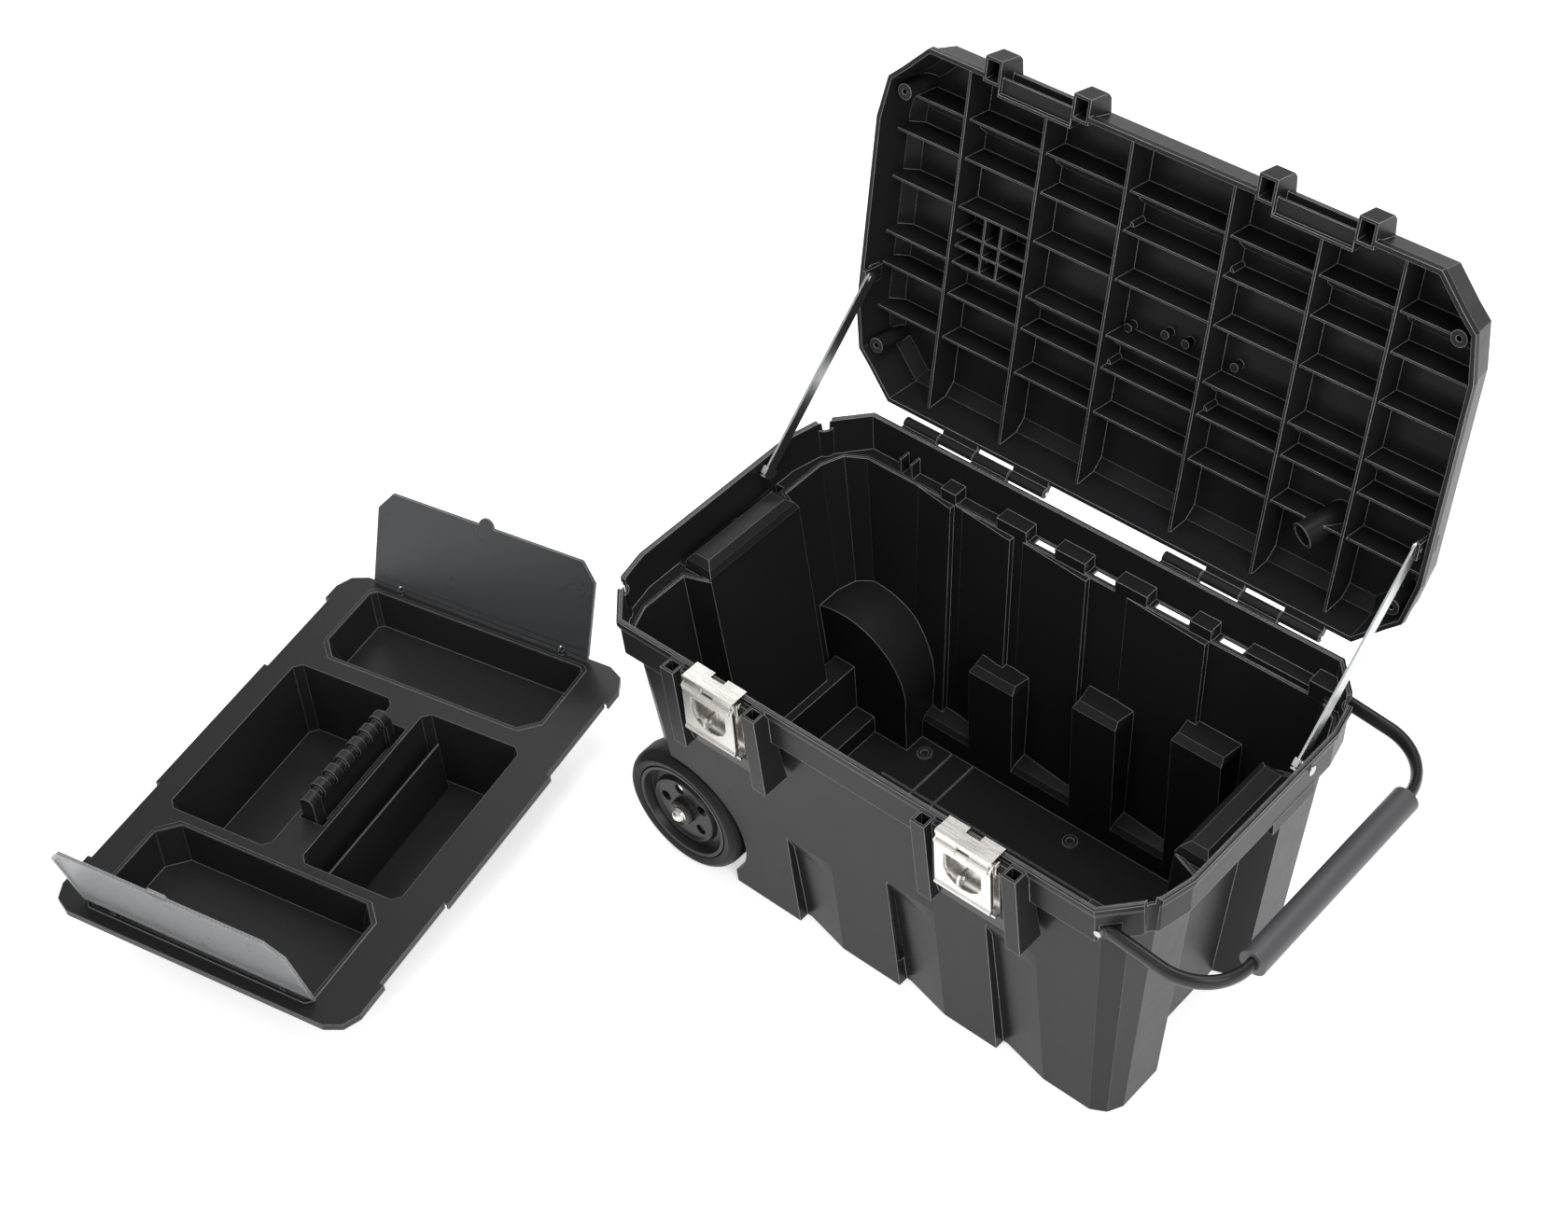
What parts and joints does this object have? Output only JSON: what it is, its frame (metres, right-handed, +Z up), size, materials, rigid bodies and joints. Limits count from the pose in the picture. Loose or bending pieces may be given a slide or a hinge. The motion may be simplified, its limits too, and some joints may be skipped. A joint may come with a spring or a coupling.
{
  "type": "rolling tool box",
  "caption": "Moulded rolling tool box with a ribbed hinged lid on strap stays, pull handle, wheels, draw latches and a lift-out tray with hinged lids set beside it.",
  "frame": {"origin": "centre of the tub's flat underside, on the floor", "axes": "+Z up, +X along the tub towards the pull handle, -Y towards the latches; the tray stands on the floor to the -X, -Y side"},
  "size_m": [1.3349, 1.1046, 0.8597],
  "materials": {
    "shell": "satin moulded polypropylene",
    "tray": "satin moulded polypropylene",
    "zinc": "zinc plated",
    "nickel": "nickel plated",
    "hub": "satin",
    "tread": "matt",
    "bail": "satin",
    "grip": "soft satin",
    "smoked": "clear smoked"
  },
  "bodies": {
    "chest": {"tub": "shell", "hinge_pin_left": "zinc", "hinge_pin_right": "zinc", "stay_rivets_tub": "zinc", "axle": "zinc", "axle_spacers": "hub", "axle_cap_front": "nickel", "axle_cap_rear": "nickel", "handle_pins": "zinc", "latch_base_left": "nickel", "latch_base_right": "nickel", "latch_pin_left": "nickel", "latch_pin_right": "nickel", "latch_rivets": "nickel"},
    "lid_body": {"lid": "shell", "stay_rivets_lid": "zinc"},
    "stay_left_body": {"stay_left": "zinc"},
    "stay_right_body": {"stay_right": "zinc"},
    "stay_guide_left_body": {"stay_guide_left": "zinc"},
    "stay_guide_right_body": {"stay_guide_right": "zinc"},
    "front_wheel": {"wheel_front": "hub", "tyre_front": "tread"},
    "rear_wheel": {"wheel_rear": "hub", "tyre_rear": "tread"},
    "handle": {"handle_tube": "bail", "handle_grip": "grip"},
    "lever_left": {"latch_lever_left": "nickel"},
    "lever_right": {"latch_lever_right": "nickel"},
    "hook_left": {"latch_hook_left": "nickel"},
    "hook_right": {"latch_hook_right": "nickel"},
    "tray_body": {"tray": "tray"},
    "tray_lid_rear_body": {"tray_lid_rear": "smoked"},
    "tray_lid_front_body": {"tray_lid_front": "smoked"}
  },
  "joints": [
    {"name": "lid_hinge", "type": "hinge", "parent": "chest", "child": "lid_body", "pos_m": [0, 0.2262, 0.4029], "axis": [1, 0, 0], "range_deg": [0, 101.7]},
    {"name": "stay_left_pivot", "type": "hinge", "parent": "lid_body", "child": "stay_left_body", "pos_m": [-0.356, 0.26, 0.55109], "axis": [1, 0, 0], "range_deg": [-51.5, 0]},
    {"name": "stay_right_pivot", "type": "hinge", "parent": "lid_body", "child": "stay_right_body", "pos_m": [0.356, 0.26, 0.55109], "axis": [1, 0, 0], "range_deg": [-51.5, 0]},
    {"name": "stay_guide_left_pivot", "type": "hinge", "parent": "chest", "child": "stay_guide_left_body", "pos_m": [-0.356, 0.07459, 0.39203], "axis": [1, 0, 0], "range_deg": [0, 51.5]},
    {"name": "stay_guide_right_pivot", "type": "hinge", "parent": "chest", "child": "stay_guide_right_body", "pos_m": [0.356, 0.07459, 0.39203], "axis": [1, 0, 0], "range_deg": [0, 51.5]},
    {"name": "handle_swing", "type": "hinge", "parent": "chest", "child": "handle", "pos_m": [0.318, 0, 0.367], "axis": [0, 1, 0], "range_deg": [0, 50]},
    {"name": "front_wheel_spin", "type": "hinge", "parent": "chest", "child": "front_wheel", "pos_m": [-0.29, -0.16, 0.083], "axis": [0, 1, 0], "continuous": true},
    {"name": "rear_wheel_spin", "type": "hinge", "parent": "chest", "child": "rear_wheel", "pos_m": [-0.29, 0.16, 0.083], "axis": [0, 1, 0], "continuous": true},
    {"name": "tray_lift", "type": "slide", "parent": "chest", "child": "tray_body", "axis": [0, 0, 1], "range_m": [0, 0.45]},
    {"name": "tray_lid_rear_hinge", "type": "hinge", "parent": "tray_body", "child": "tray_lid_rear_body", "pos_m": [-0.6761, -0.11602, 0.1032], "axis": [0.977, 0.2134, 0], "range_deg": [0, 110.5]},
    {"name": "tray_lid_front_hinge", "type": "hinge", "parent": "tray_body", "child": "tray_lid_front_body", "pos_m": [-0.55521, -0.66958, 0.1032], "axis": [-0.977, -0.2134, 0], "range_deg": [0, 103.4]},
    {"name": "latch_left_lever", "type": "hinge", "parent": "chest", "child": "lever_left", "pos_m": [-0.17, -0.2235, 0.4005], "axis": [-1, 0, 0], "range_deg": [0, 100]},
    {"name": "latch_left_hook", "type": "hinge", "parent": "lever_left", "child": "hook_left", "pos_m": [-0.17, -0.231, 0.395], "axis": [-1, 0, 0], "range_deg": [-151, 0]},
    {"name": "latch_right_lever", "type": "hinge", "parent": "chest", "child": "lever_right", "pos_m": [0.17, -0.2235, 0.4005], "axis": [-1, 0, 0], "range_deg": [0, 100]},
    {"name": "latch_right_hook", "type": "hinge", "parent": "lever_right", "child": "hook_right", "pos_m": [0.17, -0.231, 0.395], "axis": [-1, 0, 0], "range_deg": [-151, 0]}
  ],
  "couplings": [
    {"joint": "stay_guide_left_pivot", "follows": "lid_hinge", "ratio": 0.5},
    {"joint": "stay_guide_right_pivot", "follows": "lid_hinge", "ratio": 0.5},
    {"joint": "stay_left_pivot", "follows": "lid_hinge", "ratio": -0.5},
    {"joint": "stay_right_pivot", "follows": "lid_hinge", "ratio": -0.5},
    {"joint": "latch_left_hook", "follows": "latch_left_lever", "ratio": -1.5},
    {"joint": "latch_right_hook", "follows": "latch_right_lever", "ratio": -1.5}
  ]
}
